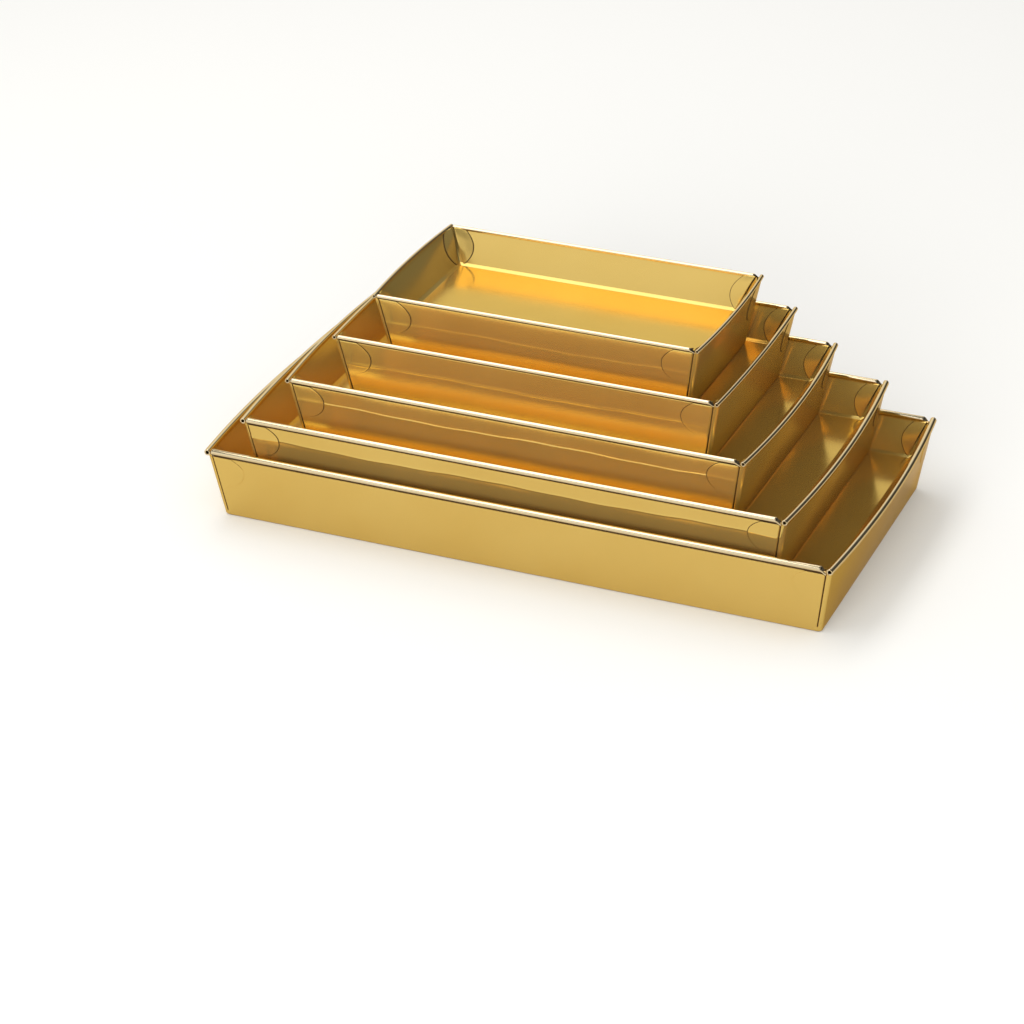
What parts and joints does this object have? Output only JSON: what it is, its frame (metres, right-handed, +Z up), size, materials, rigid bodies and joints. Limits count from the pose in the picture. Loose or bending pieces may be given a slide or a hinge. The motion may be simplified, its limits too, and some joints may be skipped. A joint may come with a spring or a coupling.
{
  "type": "stack of cardboard trays",
  "caption": "Stepped stack of open rectangular gold foil board trays with rolled rims and raised floors, each smaller one standing inside the next larger.",
  "frame": {"origin": "on the table, under the middle of the largest tray", "axes": "+X along the long sides, +Y towards the back, where the trays stand pushed together, +Z up"},
  "size_m": [0.411, 0.2074, 0.1336],
  "materials": {
    "gold_foil_board": "satin metallic gold foil laminated on board"
  },
  "bodies": {
    "root": {"largest_tray": "gold_foil_board", "large_tray": "gold_foil_board", "middle_tray": "gold_foil_board", "small_tray": "gold_foil_board", "smallest_tray": "gold_foil_board"}
  },
  "joints": []
}
